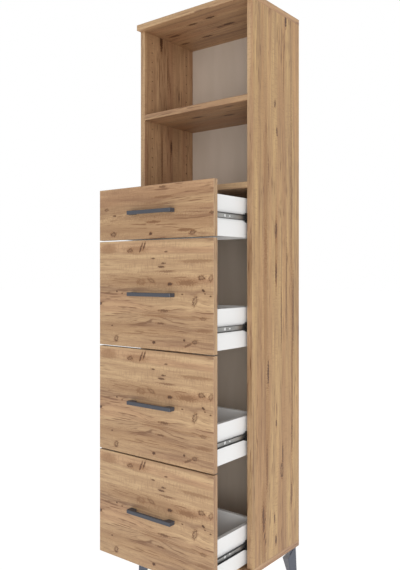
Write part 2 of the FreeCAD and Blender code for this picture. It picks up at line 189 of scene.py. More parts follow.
def ramp(tree, feed, low, high, to_low=0.0, to_high=1.0):
    """A soft step from one value to another as the feed goes from low to high."""
    return lay(tree, "ShaderNodeMapRange", (feed, low, high, to_low, to_high),
               interpolation_type="SMOOTHSTEP")


def point(tree, x, y, z=0.0):
    """A point from three numbers."""
    return lay(tree, "ShaderNodeCombineXYZ", (x, y, z))


def measured_along(tree, place, direction):
    """How far a place lies along a direction."""
    return lay(
        tree, "ShaderNodeVectorMath", (place, direction), operation="DOT_PRODUCT", out="Value")


def cloud(tree, place, detail=2.0, rough=0.5, scale=1.0):
    """Smooth noise about one half."""
    return lay(tree, "ShaderNodeTexNoise",
               {"Vector": place, "Scale": scale, "Detail": detail, "Roughness": rough})


def mixed(tree, share, first, second, kind="MIX"):
    """Two colours mixed by a share."""
    return lay(tree, "ShaderNodeMix", {0: share, 6: first, 7: second}, out=2,
               data_type="RGBA", blend_type=kind)


def new_effect(name, inputs, outputs):
    """An empty node group with named number, point or colour sockets."""
    kinds = {"number": "NodeSocketFloat", "point": "NodeSocketVector", "colour": "NodeSocketColor"}
    tree = bpy.data.node_groups.new(name, "ShaderNodeTree")
    for key, kind in inputs.items():
        tree.interface.new_socket(key, in_out="INPUT", socket_type=kinds[kind])
    for key, kind in outputs.items():
        tree.interface.new_socket(key, in_out="OUTPUT", socket_type=kinds[kind])
    return tree, tree.nodes.new("NodeGroupInput").outputs, tree.nodes.new("NodeGroupOutput").inputs


def use_effect(tree, effect, **feeds):
    """The named effect placed in a tree, with its values and links. Gives its outputs."""
    node = tree.nodes.new("ShaderNodeGroup")
    node.node_tree = effect
    feed_into(tree, node.inputs, feeds)
    return node.outputs


oak_slit = paint(116, 80, 52)
oak_dark = paint(146, 112, 82)
oak_middle = paint(180, 146, 109)
oak_light = paint(199, 166, 126)
pink_tint = paint(246, 238, 238)
farthest_wander = 0.010
tone_shares = (0.32, 0.70, 0.20)


def oak_print_effect():
    """Printed oak: bands, streaks, slits and fibres, each a noise stretched along the grain.

    The across coordinate wanders a little, and knots push the bands and streaks aside. Bands,
    streaks and fibres make the tone. Slits are short dark dashes that come in clusters, and saw
    marks are short strokes across the grain between those. A slow noise shifts the hue from yellow
    to pink, and pores are the peaks of the finest noise.
    """
    tree, given, made = new_effect(
        "oak print",
        {"Along": "number", "Across": "number", "Bend": "number", "Sheet": "number"},
        {"Color": "colour", "Height": "number", "Sheen": "number"})

    def noise(across, cells_along, cells_across, apart, detail, rough=0.5):
        """Noise of so many cells a metre along and across the grain, apart from the others."""
        level = sum_of(tree, given["Sheet"], apart) if apart else given["Sheet"]
        return cloud(tree, point(tree, times(tree, given["Along"], cells_along),
                                 times(tree, across, cells_across), level), detail, rough)

    wander = noise(given["Across"], 2.2, 6.0, 0.0, 2.0)
    straight = sum_of(tree, given["Across"], times(tree, wander, farthest_wander))
    bent = sum_of(tree, straight, given["Bend"])
    bands = noise(bent, 0.9, 15.0, 0.0, 2.0)
    streaks = noise(bent, 2.6, 62.0, 7.0, 4.0, 0.70)
    hues = noise(bent, 1.2, 26.0, 5.0, 1.0)
    clusters = noise(bent, 3.6, 20.0, 9.0, 1.0)
    slits = noise(bent, 13.0, 210.0, 11.0, 2.0, 0.6)
    fibres = noise(straight, 24.0, 460.0, 13.0, 3.0, 0.6)
    pores = noise(straight, 60.0, 1500.0, 19.0, 1.0)
    tone = sum_of(tree, *(times(tree, part, share) for part, share in zip(
        (bands, streaks, fibres), tone_shares)))
    light = ramp(tree, tone, 0.60, 0.73)
    dark = ramp(tree, tone, 0.61, 0.45)
    slit = times(tree, ramp(tree, slits, 0.55, 0.66), ramp(tree, clusters, 0.43, 0.60))
    chatter = noise(straight, 250.0, 50.0, 23.0, 1.0)
    sawn = times(tree, ramp(tree, chatter, 0.52, 0.64), ramp(tree, clusters, 0.50, 0.40))
    pore = ramp(tree, pores, 0.63, 0.73)
    colour = mixed(tree, light, oak_middle, oak_light)
    colour = mixed(tree, dark, colour, oak_dark)
    pinker = mixed(tree, 1.0, colour, pink_tint, "MULTIPLY")
    colour = mixed(tree, ramp(tree, hues, 0.46, 0.60), colour, pinker)
    colour = mixed(tree, times(tree, slit, 0.80), colour, oak_slit)
    colour = mixed(tree, times(tree, sawn, 0.30), colour, oak_dark)
    colour = mixed(tree, times(tree, pore, 0.40), colour, oak_dark, "MULTIPLY")
    height = sum_of(tree, times(tree, fibres, 0.5), times(tree, pore, -0.9))
    sheen = ramp(tree, sum_of(tree, streaks, times(tree, pore, 0.3)), 0.3, 0.8)
    feed_into(tree, made, {"Color": colour, "Height": height, "Sheen": sheen})
    return tree


knot_cells = 190.0
raggedness = 2.0
hollow_share = 0.8
push_spread = 0.20


def knot_effect():
    """One knot, crack or stain of the print, as an ellipse turned on the grain.

    Its marks are three numbers in a point, added to those of the knots before it: X is the dark
    core, broken up by noise and left open in a hollow knot, Y is the brown halo round it, and Z is
    how far the grain is pushed aside, which is the distance across over the square of one plus a
    share of the distance squared.
    """
    tree, given, made = new_effect(
        "knot",
        {"Before": "point", "Place": "point", "Centre": "point", "Turn": "point", "Size": "point",
         "Strength": "point", "Hollow": "number"},
        {"Marks": "point"})
    local = lay(tree, "ShaderNodeMapping",
                (given["Place"], given["Centre"], given["Turn"], given["Size"]),
                vector_type="TEXTURE")
    radius = lay(tree, "ShaderNodeVectorMath", (local,), operation="LENGTH", out="Value")
    broken = cloud(tree, given["Place"], 2.0, 0.6, knot_cells)
    ragged = sum_of(tree, radius, times(tree, sum_of(tree, broken, -0.5), raggedness))
    inside = times(tree, ramp(tree, ragged, 0.85, 0.50), given["Hollow"])
    opened = times(tree, inside, -hollow_share)
    core = sum_of(tree, ramp(tree, ragged, 1.20, 0.85), opened)
    halo = sum_of(tree, ramp(tree, ragged, 1.9, 0.8), opened)
    side = measured_along(tree, local, rearward)
    spread = sum_of(tree, times(tree, radius, times(tree, radius, push_spread)), 1.0)
    push = reckon(tree, "DIVIDE", side, times(tree, spread, spread))
    marks = lay(tree, "ShaderNodeVectorMath",
                (point(tree, core, halo, push), given["Strength"], given["Before"]),
                operation="MULTIPLY_ADD")
    tree.links.new(marks, made["Marks"])
    return tree


chip_cells = 420.0
brown_chip = paint(150, 118, 84)
pale_chip = paint(205, 178, 138)


def raw_chipboard_effect():
    """Unbanded chipboard: pale and brown chips, which are the cells of a Voronoi texture."""
    tree, given, made = new_effect(
        "raw chipboard", {"Place": "point"}, {"Color": "colour", "Height": "number"})
    cells = lay(tree, "ShaderNodeTexVoronoi", {"Vector": given["Place"], "Scale": chip_cells},
                out="Color")
    chip = measured_along(tree, cells, sideways)
    colour = mixed(tree, chip, brown_chip, pale_chip)
    feed_into(tree, made, {"Color": colour, "Height": chip})
    return tree


oak_print = oak_print_effect()
knot = knot_effect()
raw_chipboard = raw_chipboard_effect()

knot_brown = paint(134, 91, 54)
knot_dark = paint(76, 44, 21)
# Raw chipboard in the bores, darkened further as painted shade in the holes.
bore_chip_and_shade = paint(84, 60, 40)
forward = (0.0, -1.0, 0.0)
faces_sideways = 0.8
chip_roughness = 4.0


def new_material(name):
    """A material, its tree and its shader node, with the node's Object coordinates."""
    material = bpy.data.materials.new(name)
    material.use_nodes = True
    tree = material.node_tree
    shader = tree.nodes["Principled BSDF"]
    place = lay(tree, "ShaderNodeTexCoord", out="Object")
    return material, tree, shader, place


def dress(tree, shader, colour, roughness, height, strength, distance):
    """The shader's colour and roughness, and a bump of a strength and a height in metres."""
    bump = lay(
        tree, "ShaderNodeBump", {"Strength": strength, "Distance": distance, "Height": height})
    feed_into(
        tree, shader.inputs, {"Base Color": colour, "Roughness": roughness, "Normal": bump})


def drilled_mask(tree, place, node):
    """One in the bores and grooves of a board, and zero on its faces.

    The distance from the board's middle over its half size, on the axis where that is largest, is
    one or more on a face, and less inside.
    """
    low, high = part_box(node)
    middle, half = (low + high) / 2, (high - low) / 2
    apart = lay(tree, "ShaderNodeVectorMath", (place, tuple(middle)), operation="SUBTRACT")
    apart = lay(tree, "ShaderNodeVectorMath", (apart,), operation="ABSOLUTE")
    apart = lay(tree, "ShaderNodeVectorMath", (apart, tuple(value - edge_ease for value in half)),
                operation="DIVIDE")
    widest = measured_along(tree, apart, sideways)
    for axis in (rearward, upright):
        widest = reckon(tree, "MAXIMUM", widest, measured_along(tree, apart, axis))
    return reckon(tree, "LESS_THAN", widest, 1.0)


def oak_board_material(
        name, along, across, sheet, marks, pitch=None, raw_side=None, bored=None, tint=None,
        untinted=None, ends=None):
    """Melamine with the oak print. Along and across are the directions of the print.

    Sheet is a number that sets the print apart from that of other boards. Marks are rows of
    along, across, half length, half width in millimetres, turn in degrees, and how strong the dark
    core, the brown halo and the bent grain are. A ninth number tells how open the core of a hollow
    knot is. Pitch is the low end and the length of a stretch of the print that comes again on the
    next board. Raw_side is the direction of an edge that has no band. Bored is a node whose bores
    show the raw chipboard, darkened further as painted shade. Tint is a colour that all faces lean
    to but the front and the one that looks in the untinted direction: the board's own tone on the
    right side, and painted shade on the other boards. Ends are the directions along and across the
    bands of the right and left ends, which carry no marks.
    """
    material, tree, shader, place = new_material(name)
    outward = lay(tree, "ShaderNodeTexCoord", out="Normal")
    length = measured_along(tree, place, along)
    width = measured_along(tree, place, across)
    if pitch:
        low, step = pitch
        width = reckon(tree, "WRAP", width, low + step, low)
    spot = point(tree, length, width)
    if ends:
        sideward = reckon(tree, "ABSOLUTE", measured_along(tree, outward, sideways))
        at_end = reckon(tree, "GREATER_THAN", sideward, faces_sideways)
        length, width = (
            lay(tree, "ShaderNodeMix", {0: at_end, 2: usual, 3: measured_along(tree, place, way)})
            for usual, way in zip((length, width), ends))
    total = (0.0, 0.0, 0.0)
    for u, v, half_length, half_width, turn, darkness, brownness, pushing, *hollow in marks:
        total = use_effect(
            tree, knot, Before=total, Place=spot, Centre=(u / 1000, v / 1000, 0.0),
            Turn=(0.0, 0.0, math.radians(turn)),
            Size=(half_length / 1000, half_width / 1000, 1.0),
            Strength=(darkness, brownness, pushing * half_width / 1000),
            Hollow=sum(hollow))["Marks"]
    if ends:
        total = lay(tree, "ShaderNodeVectorMath",
                    {0: total, "Scale": ramp(tree, at_end, 0.0, 1.0, 1.0, 0.0)}, operation="SCALE")
    core, halo, bend = (measured_along(tree, total, axis) for axis in axes)
    core, halo = (reckon(tree, "MINIMUM", share, 1.0) for share in (core, halo))
    grain = use_effect(tree, oak_print, Along=length, Across=width, Bend=bend, Sheet=sheet)
    colour = mixed(tree, halo, grain["Color"], knot_brown)
    colour = mixed(tree, core, colour, knot_dark)
    # Faces but the front lean to the tint: the right side's own tone, painted shade on other
    # boards.
    if tint:
        spared = measured_along(tree, outward, forward)
        if untinted:
            spared = reckon(tree, "MAXIMUM", spared, measured_along(tree, outward, untinted))
        colour = mixed(tree, ramp(tree, spared, 0.95, 0.60), colour, tint, "MULTIPLY")
    # The bores show raw chipboard with painted shade.
    if bored:
        colour = mixed(tree, drilled_mask(tree, place, bored), colour, bore_chip_and_shade)
    height = grain["Height"]
    if raw_side:
        chips = use_effect(tree, raw_chipboard, Place=place)
        bare = ramp(tree, measured_along(tree, outward, raw_side), 0.90, 0.97)
        colour = mixed(tree, bare, colour, chips["Color"])
        chip_height = times(tree, bare, chips["Height"])
        height = sum_of(tree, height, times(tree, chip_height, chip_roughness))
    roughness = ramp(tree, grain["Sheen"], 0.0, 1.0, 0.44, 0.58)
    dress(tree, shader, colour, roughness, height, 0.35, 0.0002)
    return material


round_the_edge = (1.0, 1.0, 0.0)
# Painted shade: a warm darkening of all but the front faces of the left side, the top panel and
# the shelves, which spares the left side's outer face. The right side's tint is its own yellower
# tone.
painted_inner_shade = paint(243, 235, 232)
outer_tint = paint(252, 249, 232)
right_marks = [
    (1792, 378, 20, 4.5, 0, 0.95, 0.6, 1.2), (1519, 315, 11, 3.2, 1, 0.95, 0.6, 1.2),
    (1640, 366, 110, 2, 1, 0.35, 0.5, 0.3), (1435, 326, 12, 3.2, -2, 0.9, 0.6, 1.2),
    (1308, 279, 40, 3, 0, 0.3, 0.4, 0.5), (389, 356, 22, 7, 0, 0.85, 0.5, 1.2, 0.9),
    (440, 361, 26, 3, 0, 0.8, 0.5, 0.6), (275, 249, 27, 4, 0, 0.75, 0.6, 0.6),
    (500, 272, 120, 10, 0, 0, 0.45, 0.3), (487, 417, 46, 2.8, 0, 0.5, 0.5, 0.3),
    (300, 414, 32, 4, 0, 0.5, 0.5, 0.3), (310, 252, 46, 9, 0, 0, 0.4, 0.2),
    (1245, 264, 170, 9, 0, 0, 0.48, 0.2), (1070, 322, 100, 6, 0, 0, 0.5, 0.5),
    (253, 313, 14, 3, 0, 0.8, 0.5, 0.8), (183, 321, 14, 4, 3, 0.9, 0.5, 1),
    (216, 252, 60, 12, 0, 0, 0.5, 0.2), (1003, 321, 28, 3.4, 0, 0.9, 0.6, 1.2),
    (700, 276, 34, 4, 0, 0.9, 0.6, 1), (860, 352, 90, 2.6, 0, 0.6, 0.5, 0.4),
    (900, 262, 170, 9, 0, 0, 0.48, 0.3), (541, 323, 10, 3.2, 0, 0.8, 0.6, 0.8),
    (1132, 321, 24, 4, 0, 0.9, 0.6, 0.8), (420, 270, 60, 2.6, 0, 0.5, 0.5, 0.4),
    (215, 256, 10, 2.4, 18, 0.8, 0.5, 0.3), (240, 252, 12, 2.4, 18, 0.8, 0.5, 0.3),
    (262, 258, 9, 2.2, 18, 0.8, 0.5, 0.3), (196, 262, 9, 2.2, 18, 0.7, 0.5, 0.3),
    (880, 424, 120, 3, 0, 0.65, 0.5, 0.2), (1250, 412, 260, 3, 0, 0.4, 0.5, 0.2),
    (640, 418, 200, 2.6, 0, 0.45, 0.5, 0.2), (960, 385, 130, 2.4, 0, 0.55, 0.5, 0.2),
]
left_marks = [
    (1792, -154, 34, 6, 0, 0.9, 0.5, 1.4), (1437, -102, 22, 4, 0, 0.9, 0.5, 1.2),
    (1620, -60, 14, 3, 0, 0.6, 0.5, 0.8), (1130, -120, 26, 4, 0, 0.8, 0.5, 1.2),
    (1690, -120, 60, 2.6, 0, 0.5, 0.5, 0.4), (1380, -150, 80, 2.6, 0, 0.5, 0.5, 0.4),
    (760, -70, 26, 5, 0, 0.8, 0.5, 1.2), (330, -140, 26, 5, 0, 0.8, 0.5, 1.2),
]
oak_right = oak_board_material(
    "oak print, right side", upright, round_the_edge, 3.1, right_marks, raw_side=rearward,
    bored="right_side_panel", tint=outer_tint)
oak_left = oak_board_material(
    "oak print, left side", upright, round_the_edge, 5.7, left_marks, raw_side=rearward,
    bored="left_side_panel", tint=painted_inner_shade, untinted=(-1.0, 0.0, 0.0))
for side, board in (("right", oak_right), ("left", oak_left)):
    stand_in(side + "_side_panel", "_board", board, "cabinet", "oak_board")

# ----------------------------------------
# Top and bottom panels
# The same 18 mm board as the sides, the full width of the cabinet and forward over the shut
# fronts. They lie on the sides' ends with dowels and screws, and the legs screw to the lower one.

round_the_front = (0.0, 1.0, 1.0)
level_bands = (rearward, upright)
top_marks = [
    (36, 1811, 16, 5, 0, 0.9, 0.7, 1.5), (-42, 1821, 16, 5, 0, 0.8, 0.7, 1.3),
    (52, 1889, 20, 6, 0, 0.9, 0.8, 1.5), (15, 1893, 12, 4, 0, 0.7, 0.6, 1),
    (-155, 1866, 20, 5, 0, 0.8, 0.7, 1.5), (-173, 1942, 16, 5, 0, 0.7, 0.6, 1.3),
    (-68, 1934, 18, 5, 0, 0.8, 0.7, 1.4),
]
bottom_marks = [
    (-120, 170, 24, 6, 0, 0.9, 0.7, 1.5), (60, 250, 24, 6, 0, 0.9, 0.7, 1.5),
    (150, 110, 18, 5, 0, 0.8, 0.6, 1.3),
]


def level_board(node, sheet, marks, tint, ends=None):
    """One level board of the cabinet with its own stretch of the print."""
    board = oak_board_material(
        "oak print, " + node.replace("_", " "), sideways, round_the_front, sheet, marks,
        raw_side=rearward, bored=node, tint=tint, ends=ends)
    stand_in(node, "_board", board, "cabinet", "oak_board")


level_board("top_panel", 11.3, top_marks, painted_inner_shade, level_bands)
level_board("bottom_panel", 17.9, bottom_marks, None, level_bands)

# ----------------------------------------
# Shelves
# Two fixed 18 mm boards between the sides, one in the open part and one over the drawers. Their
# rear edges have no band. Cams in the boards pull them onto bolts in the sides.

upper_marks = [
    (-43, 1552, 20, 6, 0, 0.9, 0.7, 1.5), (57, 1588, 20, 6, 0, 0.9, 0.7, 1.5),
    (120, 1500, 16, 4, 0, 0.7, 0.6, 1),
]
divider_marks = [
    (-90, 1300, 20, 6, 0, 0.8, 0.7, 1.5), (80, 1340, 20, 5, 0, 0.8, 0.7, 1.5),
]
level_board("upper_shelf", 23.3, upper_marks, painted_inner_shade)
level_board("divider_shelf", 29.1, divider_marks, painted_inner_shade)

# ----------------------------------------
# Back panel
# One 3 mm sheet of pressed wood fibre, printed warm grey in front and raw brown behind. It slides
# down the grooves of the sides, and sits in grooves of the top and bottom panels.

back_grey = paint(212, 199, 184)
back_grey_shade = paint(207, 194, 178)
fibre_brown = paint(142, 108, 74)
fibre_dark = paint(104, 76, 50)
print_cells = (26.0, 26.0, 5.0)
fibre_cells = 520.0


def back_board_material():
    """Soft cloudy print on the front, matted fibres on the raw face."""
    material, tree, shader, place = new_material("printed fibreboard")
    stretched = lay(tree, "ShaderNodeMapping", {"Vector": place, "Scale": print_cells})
    clouded = ramp(tree, cloud(tree, stretched, 3.0), 0.3, 0.7)
    printed = mixed(tree, clouded, back_grey_shade, back_grey)
    fibres = cloud(tree, place, 4.0, 0.7, fibre_cells)
    raw = mixed(tree, ramp(tree, fibres, 0.35, 0.65), fibre_dark, fibre_brown)
    facing = measured_along(tree, lay(tree, "ShaderNodeTexCoord", out="Normal"), forward)
    front = ramp(tree, facing, 0.4, 0.6)
    dress(tree, shader, mixed(tree, front, raw, printed),
          ramp(tree, front, 0.0, 1.0, 0.85, 0.55), fibres, 0.25, 0.0002)
    return material


stand_in("back_panel", "_sheet", back_board_material(), "cabinet", "back_board", steps=0)

# ----------------------------------------
# Fasteners of the carcass
# Beech dowels, long zinc-plated screws with flat cross-slotted heads, die-cast cams with a cross
# slot, and the threaded steel bolts that the cams pull on.

lathe_turns = 24
thread_pitch = 0.0018
thread_steps = 4
point_length = 0.003
bolt_chamfer = 0.001
smooth_up_to = 35
steep = 0.9
haze_cells = 260.0
pit_cells = 1800.0
fleck_cells = (900.0, 900.0, 90.0)
zinc_dull, zinc_bright = paint(176, 178, 182), paint(206, 207, 208)
beech_pale, beech_fleck = paint(205, 170, 126), paint(164, 120, 80)


def solids_of(node):
    """The lowest and highest corner of each solid of a node, as two arrays.

    Every merged corner takes the lowest number of those that it shares an edge with, again and
    again, until each solid has one number.
    """
    shape = merged_shape(node)
    mesh = bpy.data.meshes.new("measured")
    shape.to_mesh(mesh)
    shape.free()
    corners = np.zeros(len(mesh.vertices) * 3)
    ends = np.zeros(len(mesh.edges) * 2, int)
    mesh.vertices.foreach_get("co", corners)
    mesh.edges.foreach_get("vertices", ends)
    bpy.data.meshes.remove(mesh)
    corners, ends = corners.reshape(-1, 3), ends.reshape(-1, 2)
    number = np.arange(len(corners))
    while True:
        lower = number.copy()
        np.minimum.at(lower, ends[:, 0], number[ends[:, 1]])
        np.minimum.at(lower, ends[:, 1], number[ends[:, 0]])
        if (lower == number).all():
            break
        number = lower
    found = [corners[number == one] for one in np.unique(number)]
    return np.array([some.min(0) for some in found]), np.array([some.max(0) for some in found])


def lathe_mesh(name, rows, starts, runs, slot_width=0.0, slot_reach=0.0, slot_depth=0.0):
    """Turned pieces of one kind, as one mesh.

    A row is a distance along the axis, a radius, a thread's height and a one on the slotted face,
    with nothing for zeros at its end. A surface point lies at the row's distance and radius, plus
    the thread times a triangle wave of distance over pitch less the turn. The driver slot sinks
    points of the slotted face where they lie within the width of a cross and inside its reach.
    """
    rows = np.array([(*row, 0.0, 0.0)[:4] for row in rows])
    distance, radius, thread, flat = rows.T[:, :, None]
    turn = np.linspace(0, 2 * np.pi, lathe_turns, endpoint=False)[None, :]
    wave = np.abs(((distance / thread_pitch - turn / (2 * np.pi)) % 1) * 2 - 1)
    reach = radius + thread * wave
    x, y = reach * np.cos(turn), reach * np.sin(turn)
    depth = distance + 0 * turn
    if slot_depth:
        near_arm = np.minimum(np.abs(x), np.abs(y))
        inside = np.clip((slot_width - near_arm) / (slot_width * 0.5) + 0.5, 0, 1)
        inside = inside * np.clip((slot_reach - reach) / (slot_reach * 0.2) + 0.5, 0, 1)
        depth = depth + slot_depth * inside * flat
    ways = runs / np.linalg.norm(runs, axis=1)[:, None]
    level = np.where(np.abs(ways[:, 2:]) > steep, [sideways], [upright])
    first = np.cross(ways, level)
    first /= np.linalg.norm(first, axis=1)[:, None]
    second = np.cross(ways, first)
    grid = (starts[:, None, None] + depth[..., None] * ways[:, None, None]
            + x[..., None] * first[:, None, None] + y[..., None] * second[:, None, None])
    count, rings = grid.shape[:2]
    tips = np.stack([starts + ways * (rows[0, 0] + slot_depth * rows[0, 3]),
                     starts + ways * rows[-1, 0]], axis=1)
    corners = np.concatenate([grid.reshape(count, -1, 3), tips], axis=1)
    ring, step = np.meshgrid(np.arange(rings - 1), np.arange(lathe_turns), indexing="ij")
    here, after = ring * lathe_turns + step, ring * lathe_turns + (step + 1) % lathe_turns
    quads = np.stack([here, here + lathe_turns, after + lathe_turns, after], -1).reshape(-1, 4)
    step = np.arange(lathe_turns)
    onward = (step + 1) % lathe_turns
    last = (rings - 1) * lathe_turns
    near_fan = np.stack([step, onward, step * 0 + rings * lathe_turns], -1)
    far_fan = np.stack([last + onward, last + step, step * 0 + rings * lathe_turns + 1], -1)
    each = np.arange(count)[:, None, None] * corners.shape[1]
    faces = ((quads + each).reshape(-1, 4).tolist() + (near_fan + each).reshape(-1, 3).tolist()
             + (far_fan + each).reshape(-1, 3).tolist())
    mesh = bpy.data.meshes.new(name)
    mesh.from_pydata(corners.reshape(-1, 3).tolist(), [], faces)
    shape = bmesh.new()
    shape.from_mesh(mesh)
    bmesh.ops.recalc_face_normals(shape, faces=shape.faces)
    shape.to_mesh(mesh)
    shape.free()
    mesh.shade_smooth()
    mesh.set_sharp_from_angle(angle=math.radians(smooth_up_to))
    return mesh


def thread_rows(radius, start, end):
    """Rows of a thread of the given outer radius, a few to each pitch."""
    return [(s, radius * 0.74, radius * 0.24)
            for s in np.arange(start, end, thread_pitch / thread_steps)]


def screw_rows(sizes, length):
    """Rows of a screw, whose sizes are its head's radius and height and its shank's radius."""
    head, height, shank = sizes
    tip = length - point_length
    return ([(0.0, head * s, 0.0, 1.0) for s in np.linspace(0.12, 0.92, 9)]
            + [(height * 0.12, head), (height, head * 0.98), (height, shank * 0.8)]
            + thread_rows(shank, height + thread_pitch, tip)
            + [(tip, shank * 0.7), (length, shank * 0.1)])


def dowel_rows(length):
    """Rows of a dowel with a chamfer at both ends."""
    return [(0.0, dowel_end_radius), (dowel_chamfer, dowel_radius),
            (length - dowel_chamfer, dowel_radius), (length, dowel_end_radius)]


def cam_rows(radius, depth):
    """Rows of a cam from its slotted face: the face, the rim and the drum below it."""
    return ([(0.0, radius * s, 0.0, 1.0) for s in np.linspace(0.08, 0.94, 12)]
            + [(depth * 0.03, radius * 0.985), (depth * 0.10, radius * 0.985),
               (depth * 0.14, radius * 0.93), (depth * 0.97, radius * 0.93),
               (depth, radius * 0.86), (depth, radius * 0.3)])


def bolt_rows(radius, length):
    """Rows of a cam bolt: its ball head, its neck, its collar and its thread."""
    return ([(0.0, radius * 0.55), (0.0012, radius * 0.98), (0.0030, radius * 0.98),
             (0.0042, radius * 0.6), (length * 0.55, radius * 0.6),
             (length * 0.57, radius * 0.98), (length * 0.60, radius * 0.98)]
            + thread_rows(radius, length * 0.62, length - bolt_chamfer)
            + [(length, radius * 0.6)])


def turned_piece(name, rows, driver, boxes, axis, inward, material, body, slot, node):
    """Turned pieces in the boxes of their solids, as one piece that stands for a node.

    Driver is the slot's width, reach and depth, or nothing. Inward is 1 or -1 for each box: the
    way that its piece runs from its head along the axis.
    """
    low, high = boxes
    starts, runs = (low + high) / 2, np.zeros_like(low)
    starts[:, axis] = np.where(inward > 0, low[:, axis], high[:, axis])
    runs[:, axis] = (high - low)[:, axis] * inward
    return place_piece(
        lathe_mesh(name, rows, starts, runs, *driver), name, material, body, slot, node)


def zinc_material():
    """Bright zinc plating, a little clouded, on turned and cast fasteners."""
    material, tree, shader, place = new_material("bright zinc")
    haze = cloud(tree, place, 3.0, 0.6, haze_cells)
    dress(tree, shader, mixed(tree, haze, zinc_dull, zinc_bright),
          ramp(tree, haze, 0.3, 0.7, 0.28, 0.46), cloud(tree, place, 2.0, 0.6, pit_cells),
          0.15, 0.0001)
    shader.inputs["Metallic"].default_value = 1.0
    return material


def beech_material():
    """Pale beech with short brown flecks along the dowel."""
    material, tree, shader, place = new_material("beech")
    stretched = lay(tree, "ShaderNodeMapping", {"Vector": place, "Scale": fleck_cells})
    fleck = ramp(tree, cloud(tree, stretched, 2.0), 0.55, 0.7)
    dress(tree, shader, mixed(tree, fleck, beech_pale, beech_fleck), 0.7, fleck, 0.2, 0.0002)
    return material


zinc = zinc_material()
beech = beech_material()


def turned_node(node, ending, profile, driver, axis, limit, beyond, material=zinc,
                slot="zinc_fastener"):
    """All solids of a node of the cabinet as turned pieces, called after the node with an ending.

    Profile gives the rows for a length. Pieces beyond the limit on the axis run that way from
    their heads, 1 or -1, and the others run the other way.
    """
    low, high = solids_of(node)
    inward = np.where(((low + high) / 2)[:, axis] > limit, beyond, -beyond)
    return turned_piece(node + ending, profile((high - low)[0, axis]), driver, (low, high), axis,
                        inward, material, "cabinet", slot, node)


dowel_radius, dowel_end_radius, dowel_chamfer = 0.0034, 0.0024, 0.0012
panel_screw, panel_screw_slot = (0.0043, 0.0040, 0.0030), (0.0009, 0.0026, 0.0022)
cam_radius, cam_slot = 0.0069, (0.0010, 0.0046, 0.0030)
bolt_radius = 0.0021
mid_height = 1.0
between_shelves = 1.4
ground = 0.0
mid_width = 0.0
turned_node("dowels", "_turned", dowel_rows, (), 2, ground, 1, beech, "dowel_wood")
turned_node("panel_screws", "_turned", partial(screw_rows, panel_screw), panel_screw_slot, 2,
            mid_height, -1)
turned_node("shelf_cams", "_cast", partial(cam_rows, cam_radius), cam_slot, 2,
            between_shelves, -1)
turned_node("shelf_bolts", "_turned", partial(bolt_rows, bolt_radius), (), 0, mid_width, 1)

# ----------------------------------------
# Drawer slides
# Two rolled channels of zinc-plated steel a side: a fixed one on the side panel and a narrower one
# on the drawer. Their lips face each other, and the balls roll between the lips. The drawer's
# channel has a round hole and a slot for its screws.

drawn_cells = (900.0, 14.0, 900.0)
patch_cells = 34.0
steel_dull, steel_bright = paint(142, 142, 140), paint(174, 173, 170)
painted_lip_shade = paint(62, 62, 62)


def mark_lips(mesh):
    """Writes how far each corner lies from the middle of its channel, where one is its edge."""
    corners = np.zeros(len(mesh.vertices) * 3)
    mesh.vertices.foreach_get("co", corners)
    height = corners.reshape(-1, 3)[:, 2]
    middle, half = (height.max() + height.min()) / 2, (height.max() - height.min()) / 2
    mesh.attributes.new("lip", "FLOAT", "POINT").data.foreach_set(
        "value", (np.abs(height - middle) / half).astype(np.float32))


def slide_steel_material():
    """Rolled zinc-plated steel, drawn into faint lines along the slide, its lips in painted shade.
    """
    material, tree, shader, place = new_material("rolled slide steel")
    drawn = lay(tree, "ShaderNodeMapping", {"Vector": place, "Scale": drawn_cells})
    lines = cloud(tree, drawn, 3.0, 0.6)
    patches = cloud(tree, place, 3.0, 0.5, patch_cells)
    shade = sum_of(tree, times(tree, lines, 0.4), times(tree, patches, 0.6))
    steel = mixed(tree, ramp(tree, shade, 0.35, 0.65), steel_dull, steel_bright)
    lip = lay(tree, "ShaderNodeAttribute", out="Fac", attribute_name="lip")
    # The lips darken towards their edges: painted shade, as the flanges seen edge-on catch little
    # light.
    dress(tree, shader, mixed(tree, ramp(tree, lip, 0.72, 0.86), steel, painted_lip_shade),
          ramp(tree, shade, 0.3, 0.7, 0.34, 0.50), lines, 0.15, 0.0001)
    shader.inputs["Metallic"].default_value = 0.9
    return material


slide_steel = slide_steel_material()
drawer_names = ["drawer_%d" % number for number in (1, 2, 3, 4)]
for drawer in drawer_names:
    for node, body in ((drawer + "_outer_slides", "cabinet"), (drawer + "_inner_slides", drawer)):
        channel = stand_in(
            node, "_rolled", slide_steel, body, "slide_steel", steps=2, ease=0.0004)
        mark_lips(channel.data)

# ----------------------------------------
# Ball retainers
# A black moulded strip between the two channels that holds polished steel balls in two rows. It
# rolls at half of the drawer's travel, and its forked nose shows in the open slide.

ball_radius = 0.001725
ball_across = 0.19765
ball_height = 0.010275
ball_lead = 0.016
ball_spacing = 0.022
ball_rings = 8
pole_depth = 0.00002
pole_radius = 0.12 * ball_radius


def grained_material(name, dark, light, grain, rough, bump, patches=None):
    """A moulded, coated or faced surface whose grain makes it rise and fall and shine unevenly.

    Grain and patches are a noise's detail, roughness and cells a metre. Patches mix the two
    colours, and where there are none, the grain does. Rough is the least and the greatest
    roughness. Bump is its strength and its height in metres.
    """
    material, tree, shader, place = new_material(name)
    relief = cloud(tree, place, *grain)
    shade = cloud(tree, place, *patches) if patches else relief
    dress(tree, shader, mixed(tree, shade, dark, light), ramp(tree, relief, 0.3, 0.7, *rough),
          relief, *bump)
    return material


